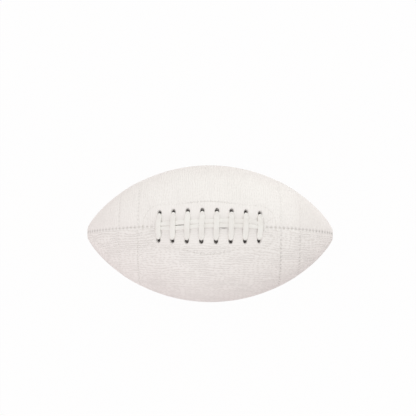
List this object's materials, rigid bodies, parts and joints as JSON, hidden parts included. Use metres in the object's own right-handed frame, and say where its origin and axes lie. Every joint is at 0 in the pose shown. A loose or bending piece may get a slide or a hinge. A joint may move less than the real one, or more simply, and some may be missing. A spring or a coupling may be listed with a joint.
{
  "type": "american football",
  "caption": "Laced white leather ball with pointed ends, sewn from lined panels over an air bladder, for throwing, kicking and carrying.",
  "frame": {"origin": "centre of the ball", "axes": "+X along the ball from tail to nose, +Z out through the lacing, +Y to the left side"},
  "size_m": [0.2798, 0.1558, 0.1578],
  "materials": {
    "panel_leather": "white pebbled leather, satin",
    "stripe_leather": "thin white leather, satin",
    "lace_leather": "smooth white leather thong",
    "inner_leather": "pale tan split leather, matte",
    "lining_cloth": "natural woven cotton lining, matte",
    "seam_thread": "waxed white thread",
    "bladder_rubber": "matte grey rubber",
    "valve_rubber": "soft pale rubber"
  },
  "bodies": {
    "root": {"lace_panel_left": "panel_leather", "lace_panel_right": "panel_leather", "back_panel_left": "panel_leather", "back_panel_right": "panel_leather", "stripe_left_nose": "stripe_leather", "stripe_left_tail": "stripe_leather", "stripe_right_nose": "stripe_leather", "stripe_right_tail": "stripe_leather", "lace": "lace_leather", "lace_facing_left": "inner_leather", "lace_facing_right": "inner_leather", "tongue": "inner_leather", "lace_lining_left": "lining_cloth", "lace_lining_right": "lining_cloth", "back_lining_left": "lining_cloth", "back_lining_right": "lining_cloth", "lace_seam_thread_nose": "seam_thread", "lace_seam_thread_tail": "seam_thread", "side_seam_thread_left": "seam_thread", "side_seam_thread_right": "seam_thread", "back_seam_thread": "seam_thread", "bladder": "bladder_rubber", "valve_housing": "valve_rubber", "valve_plug": "valve_rubber"}
  },
  "joints": []
}
